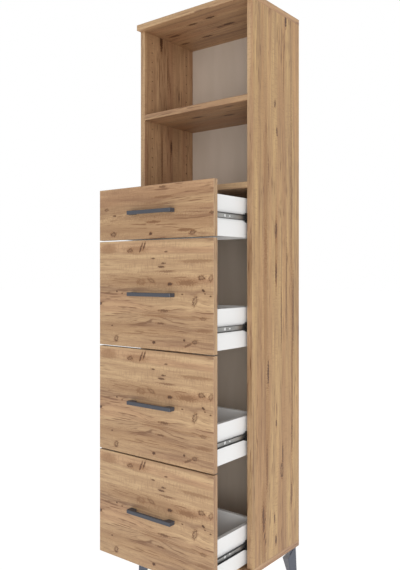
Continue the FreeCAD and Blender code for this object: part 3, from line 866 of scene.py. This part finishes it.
def ball_mesh(name, centres):
    """Balls as rings of latitude: radius times sine and cosine of the latitude and the turn."""
    latitudes = np.linspace(0, np.pi, ball_rings + 2)[1:-1]
    rows = ([(pole_depth, pole_radius)]
            + [(ball_radius - ball_radius * math.cos(latitude), ball_radius * math.sin(latitude))
               for latitude in latitudes]
            + [(2 * ball_radius - pole_depth, pole_radius)])
    return lathe_mesh(
        name, rows, centres - [[0.0, 0.0, ball_radius]], np.tile([upright], (len(centres), 1)))


black_plastic = grained_material(
    "black retainer plastic", paint(22, 22, 24), paint(38, 38, 41), (2.0, 0.5, 1400.0),
    rough=(0.35, 0.5), bump=(0.3, 0.0001))
for drawer in drawer_names:
    node, body = drawer + "_ball_retainers", drawer + "_retainers"
    stand_in(node, "_moulded", black_plastic, body, "retainer_plastic", steps=2, ease=0.0003,
             shortest=0.003, round_bores=False)
    low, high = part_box(node)
    centres = np.array([
        (side * ball_across, low.y + ball_lead + row * ball_spacing,
         (low.z + high.z) / 2 + above * ball_height)
        for side in (-1, 1) for row in (0, 1) for above in (-1, 1)])
    name = drawer + "_balls"
    place_piece(ball_mesh(name, centres), name, zinc, body, "slide_steel")

# ----------------------------------------
# Screws of the fixed slides
# Small countersunk screws of zinc-plated steel, flush in the fixed channel, that hold it to the
# side panel.

slide_screw, slide_screw_slot = (0.0017, 0.0012, 0.0015), (0.0004, 0.0012, 0.0008)
turned_node("outer_slide_screws", "_turned", partial(screw_rows, slide_screw), slide_screw_slot,
            0, mid_width, 1)

# ----------------------------------------
# Drawer boxes
# Sides and back of 12 mm chipboard with a white pearl-textured melamine face and white bands. The
# bottom is a 3 mm white-faced fibreboard in grooves of the sides, the back and the front.


def white_board_material(name, shade, colour):
    """White melamine with a fine pearl texture and the faintest clouding."""
    return grained_material(
        name, shade, colour, (2.0, 0.5, 900.0), rough=(0.38, 0.5), bump=(0.25, 0.0001),
        patches=(2.0, 0.5, 9.0))


white_board = white_board_material("white melamine", paint(229, 229, 228), paint(236, 236, 235))
white_fibreboard = white_board_material(
    "white-faced fibreboard", paint(243, 243, 242), paint(250, 250, 249))
for drawer in drawer_names:
    for part in ("_right_side", "_left_side", "_back"):
        stand_in(drawer + part, "_board", white_board, drawer, "white_board")
    stand_in(
        drawer + "_bottom", "_sheet", white_fibreboard, drawer, "drawer_bottom_board", steps=0)

# ----------------------------------------
# Drawer fronts
# 18 mm oak-print board with the grain lying across, banded all round. The three deep fronts carry
# the same stretch of the print, and the shallow one a stretch of its own.

front_pitch = 0.320
print_margin = 0.002
deep_front_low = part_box("drawer_4_front")[0]
front_face_y = deep_front_low.y
print_low = deep_front_low.z + front_face_y
upright_bands = (upright, rearward)
# Painted shade: the fronts' edges and backs are made a little darker than their faces.
painted_edge_shade = paint(238, 238, 238)
deep_marks = [
    (-33, 299, 11, 2.6, 66, 0.75, 0.6, 0.4), (-46, 294, 13, 2.8, 66, 0.75, 0.6, 0.4),
    (-182, 293, 24, 11, 0, 0, 0.48, 0.3), (-90, 287, 9, 5, 10, 0.7, 0.5, 0.6, 0.8),
    (52, 281, 6, 2, 0, 0.7, 0.4, 0.4), (2, 262, 6, 2, 0, 0.8, 0.4, 0.4),
    (42, 248, 7, 2.4, 0, 0.8, 0.4, 0.4), (34, 238, 11, 2.6, 0, 0.8, 0.5, 0.4),
    (-62, 288, 34, 9, 0, 0, 0.45, 0.3), (52, 225, 26, 2.2, 0, 0.3, 0.4, 0.3),
    (167, 253, 50, 4, 0, 0.15, 0.45, 0.3), (-45, 194, 14, 7, 0, 0.15, 0.4, 0.6, 0.7),
    (-10, 198, 150, 16, 0, 0, 0.38, 0.2), (-4, 198, 12, 5, -20, 0.45, 0.4, 0.6, 0.8),
    (130, 193, 26, 6, 0, 0.2, 0.4, 0.5), (66, 189, 8, 4, 0, 0.95, 0.6, 1),
    (180, 207, 10, 6, 0, 0.85, 0.6, 1.2, 0.8), (212, 206, 9, 6, 60, 0.55, 0.4, 0.6, 0.8),
    (186, 172, 5, 3, -30, 0.95, 0.5, 0.6), (192, 164, 3, 2, 0, 0.8, 0.4, 0.4),
    (211, 157, 4, 2, 0, 0.8, 0.4, 0.4), (112, 161, 3.5, 2, 0, 0.8, 0.4, 0.4),
    (-146, 165, 4, 2.4, 0, 0.8, 0.4, 0.4), (-123, 159, 3.5, 2, 0, 0.7, 0.4, 0.4),
    (157, 143, 13, 7, 68, 0.85, 0.55, 1.2, 0.9), (-219, 127, 7, 4, 0, 0.9, 0.5, 0.8),
    (44, 113, 18, 3.2, 0, 0.6, 0.6, 0.4), (0, 101, 34, 9, 0, 0, 0.22, 2.6),
    (186, 95, 10, 4, 0, 0.45, 0.4, 1.2, 0.5), (95, 97, 90, 3, 0, 0, 0.35, 0.3),
    (31, 76, 14, 2.4, 0, 0.55, 0.6, 0.4), (-90, 56, 150, 14, 0, 0, 0.3, 0.2),
    (190, 62, 22, 4, 0, 0.15, 0.45, 0.5), (-166, 60, 3.5, 2.4, 0, 0.8, 0.4, 0.4),
    (-148, 22, 9, 7, 60, 0.9, 0.6, 1.2, 0.9), (5, 20, 6, 4, 0, 0.95, 0.6, 1),
    (119, 33, 4, 3, 0, 0.9, 0.5, 0.6), (157, 30, 9, 5, 10, 0.85, 0.5, 0.8, 0.8),
    (133, 20, 14, 3, 25, 0.55, 0.5, 0.5),
]
shallow_marks = [
    (38, 147, 14, 2.6, 0, 0.5, 0.5, 0.4), (-46, 157, 14, 3, 0, 0.6, 0.5, 0.4),
    (-190, 93, 7, 4, 0, 0.7, 0.5, 0.8, 0.7), (-156, 73, 6, 2.4, 0, 0.8, 0.5, 0.5),
    (-8, 14, 5, 4, 0, 0.95, 0.6, 1), (149, 12, 10, 5, 10, 0.8, 0.5, 0.8, 0.8),
    (216, 64, 6, 4, 0, 0.8, 0.5, 0.8, 0.6), (-160, 17, 10, 6, 0, 0.8, 0.5, 1, 0.8),
    (4, 48, 20, 3.2, 0, 0.25, 0.45, 0.6), (-4, 96, 34, 8, 0, 0, 0.25, 2.2),
    (120, 20, 22, 3, 0, 0.25, 0.45, 0.5), (40, 118, 30, 3, 0, 0.15, 0.45, 0.4),
    (0, 34, 230, 24, 0, 0, 0.4, 0), (0, 108, 230, 30, 0, 0, 0.25, 0),
]


def raised(marks, rise):
    """Marks measured from a front's lower edge, moved to where that edge lies in the print."""
    return [(u, v + rise * 1000, *rest) for u, v, *rest in marks]


deep_front = oak_board_material(
    "oak print, deep fronts", sideways, round_the_front, 41.7, raised(deep_marks, print_low),
    pitch=(print_low - print_margin, front_pitch), tint=painted_edge_shade, ends=upright_bands)
shallow_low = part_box("drawer_1_front")[0].z + front_face_y
shallow_front = oak_board_material(
    "oak print, shallow front", sideways, round_the_front, 43.2,
    raised(shallow_marks, shallow_low), tint=painted_edge_shade, ends=upright_bands)
for drawer in drawer_names:
    board = shallow_front if drawer == "drawer_1" else deep_front
    stand_in(drawer + "_front", "_board", board, drawer, "oak_board")

# ----------------------------------------
# Handles
# Die-cast bow handles with a flat bar and two broad feet, with an orange-peel powder coat in
# anthracite. Each is held by two screws from inside the front.

powder_coat = grained_material(
    "anthracite powder coat", paint(60, 62, 70), paint(71, 73, 81), (2.0, 0.5, 620.0),
    rough=(0.40, 0.52), bump=(0.35, 0.0002), patches=(2.0, 0.5, 30.0))
for drawer in drawer_names:
    stand_in(drawer + "_handle", "_cast", powder_coat, drawer, "handle_metal", ease=0.0008,
             shortest=0.004, round_bores=False)

# ----------------------------------------
# Fasteners of the drawers
# Cams and bolts that hold each front to its box, screws through the sides into the back, screws
# of the slides, and the two screws of the handle.

handle_screw, handle_screw_slot = (0.0035, 0.0024, 0.0017), (0.0006, 0.0022, 0.0014)
drawer_cam_depth = 0.0095
cams_exceed = 0.012
bolts_exceed = 0.020
handle_heads_exceed = 0.006
box_screws_exceed = 0.030

for drawer in drawer_names:
    node = drawer + "_fasteners"
    low, high = solids_of(node)
    size = high - low
    is_cam = (size[:, 1] > cams_exceed) & (size[:, 2] > cams_exceed)
    is_handle_screw = (size[:, 1] > bolts_exceed) & (size[:, 2] > handle_heads_exceed) & ~is_cam
    is_bolt = (size[:, 1] > bolts_exceed) & ~is_handle_screw
    is_box_screw = size[:, 0] > box_screws_exceed
    is_slide_screw = ~(is_cam | is_handle_screw | is_bolt | is_box_screw)
    to_front = np.full(len(low), -1.0)
    to_middle = np.where(low[:, 0] > 0, -1.0, 1.0)
    kinds = (
        ("cams", is_cam, 0, -to_middle, cam_rows(cam_radius, drawer_cam_depth), cam_slot),
        ("bolts", is_bolt, 1, to_front, bolt_rows(bolt_radius, size[is_bolt][0, 1]), ()),
        ("back_screws", is_box_screw, 0, to_middle,
         screw_rows(slide_screw, size[is_box_screw][0, 0]), slide_screw_slot),
        ("slide_screws", is_slide_screw, 0, to_middle,
         screw_rows(slide_screw, size[is_slide_screw][0, 0]), slide_screw_slot),
        ("handle_screws", is_handle_screw, 1, to_front,
         screw_rows(handle_screw, size[is_handle_screw][0, 1]), handle_screw_slot),
    )
    for kind, chosen, axis, inward, rows, driver in kinds:
        turned_piece(drawer + "_" + kind, rows, driver, (low[chosen], high[chosen]), axis,
                     inward[chosen], zinc, drawer, "zinc_fastener", node)

# ----------------------------------------
# Legs
# Splayed three-sided legs, each moulded in one piece with its screw plate, in a dark blue-grey
# plastic with a fine spark-eroded texture. Three screws hold each under the bottom panel.

leg_plastic = grained_material(
    "blue-grey leg plastic", paint(80, 84, 95), paint(89, 93, 104), (3.0, 0.6, 900.0),
    rough=(0.40, 0.52), bump=(0.2, 0.0001), patches=(2.0, 0.5, 22.0))
leg_plastic.node_tree.nodes["Principled BSDF"].inputs["Specular IOR Level"].default_value = 0.25
for leg in ("front_left", "front_right", "rear_left", "rear_right"):
    stand_in(leg + "_leg", "_moulded", leg_plastic, "cabinet", "leg_plastic", ease=0.0008,
             shortest=0.012, round_bores=False)

# ----------------------------------------
# Leg screws and glides
# Zinc-plated pan-head screws, which hold the leg plates up to the bottom panel, and a round grey
# nylon glide pressed into each foot.

leg_screw, leg_screw_slot = (0.0033, 0.0022, 0.0017), (0.0006, 0.0020, 0.0013)
glide_nylon = grained_material(
    "glide nylon", paint(70, 71, 74), paint(96, 97, 100), (3.0, 0.6, 240.0), rough=(0.5, 0.7),
    bump=(0.3, 0.0002))
low, high = solids_of("leg_glides")
glide_radius = (high[0, 0] - low[0, 0]) / 2


def glide_rows(radius, height):
    """Rows of a glide from its sole, which has a rounded rim."""
    return [(0.0, radius * 0.3), (0.0, radius * 0.86), (0.0006, radius * 0.96),
            (0.0012, radius), (height, radius), (height, radius * 0.3)]


turned_node("leg_screws", "_turned", partial(screw_rows, leg_screw), leg_screw_slot, 2, ground, 1)
turned_node("leg_glides", "_moulded", partial(glide_rows, glide_radius), (), 2, ground, 1,
            glide_nylon, "glide_plastic")

# ----------------------------------------
# Floor
# A plain white studio floor. To the camera it is white, with the cabinet's soft shadow on it. To
# the light that bounces about it is a brighter grey that glows, as among white walls.

floor_reach = 30.0
shown_grey, shown_glow = 0.30, 0.92
bounce_grey, bounce_glow = 0.80, 0.76
white = (1.0, 1.0, 1.0, 1.0)


def seen_directly(tree):
    """One for rays from the camera and those by way of gloss or glass, and zero for all others."""
    path = tree.nodes.new("ShaderNodeLightPath").outputs
    kept = reckon(tree, "MAXIMUM", path["Is Camera Ray"], path["Is Glossy Ray"])
    return reckon(tree, "MAXIMUM", kept, path["Is Transmission Ray"])


def glowing(tree, grey, strength):
    """A matt grey surface that glows white by itself too."""
    matt = lay(tree, "ShaderNodeBsdfDiffuse", {"Color": (grey, grey, grey, 1.0)})
    glow = lay(tree, "ShaderNodeEmission", {"Color": white, "Strength": strength})
    return lay(tree, "ShaderNodeAddShader", (matt, glow))


floor_mesh = bpy.data.meshes.new("floor")
floor_mesh.from_pydata(
    [(-floor_reach, -floor_reach, 0.0), (floor_reach, -floor_reach, 0.0),
     (floor_reach, floor_reach, 0.0), (-floor_reach, floor_reach, 0.0)], [], [(0, 1, 2, 3)])
floor = new_object("floor", floor_mesh)
floor_white = bpy.data.materials.new("studio floor")
floor_white.use_nodes = True
tree = floor_white.node_tree
tree.nodes.clear()
chosen = lay(tree, "ShaderNodeMixShader", (
    seen_directly(tree), glowing(tree, bounce_grey, bounce_glow),
    glowing(tree, shown_grey, shown_glow)))
tree.links.new(chosen, tree.nodes.new("ShaderNodeOutputMaterial").inputs["Surface"])
floor_mesh.materials.append(floor_white)

# ----------------------------------------
# Lamps and world
# A broad soft lamp in front on the right, a weak one from the right, a square panel at the height
# of the drawers, and the white surroundings. Together they light front and right faces evenly.

world_light = 0.28
softness = math.radians(30)
panel_place = (1.60, -1.68, 0.55)


def place_lamp(name, kind, strength, rise, turn, place=(0.0, 0.0, 0.0), **size):
    """A lamp that is turned to the left and shines down by its rise, both in degrees."""
    data = bpy.data.lights.new(name, kind)
    data.energy = strength
    for key, value in size.items():
        setattr(data, key, value)
    lamp = new_object(name, data)
    lamp.location = place
    lamp.rotation_euler = (math.radians(90 - rise), 0.0, math.radians(turn))


place_lamp("soft lamp", "SUN", strength=0.68, rise=14, turn=38, angle=softness)
place_lamp("side lamp", "SUN", strength=0.26, rise=20, turn=75, angle=softness)
place_lamp("low panel", "AREA", strength=13.0, rise=0, turn=43.6, place=panel_place, size=1.0)

world = bpy.data.worlds.new("studio")
bpy.context.scene.world = world
world.use_nodes = True
tree = world.node_tree
tree.nodes.clear()
strength = ramp(tree, seen_directly(tree), 0.0, 1.0, world_light, 1.0)
sky = lay(tree, "ShaderNodeBackground", {"Color": white, "Strength": strength})
tree.links.new(sky, tree.nodes.new("ShaderNodeOutputWorld").inputs["Surface"])

# ----------------------------------------
# Camera
# It stands level, a metre above the floor, and looks at the cabinet's front right edge. A shift
# lowers the picture, because the horizon lies above its middle.

picture_height = 570
focal_pixels = 645.16
sensor = 36.0
horizon_shift = -12.38
nearest = 0.05
camera_place = (1.26194, -1.59887, 1.00239)
camera_turn = 38.21
camera_data = bpy.data.cameras.new("camera")
camera_data.sensor_width = sensor
camera_data.lens = focal_pixels * sensor / picture_height
camera_data.shift_y = horizon_shift / picture_height
camera_data.clip_start = nearest
camera = new_object("camera", camera_data)
camera.location = camera_place
camera.rotation_euler = (math.radians(90), 0.0, math.radians(camera_turn))
bpy.context.scene.camera = camera
bpy.context.scene.view_settings.view_transform = "Standard"
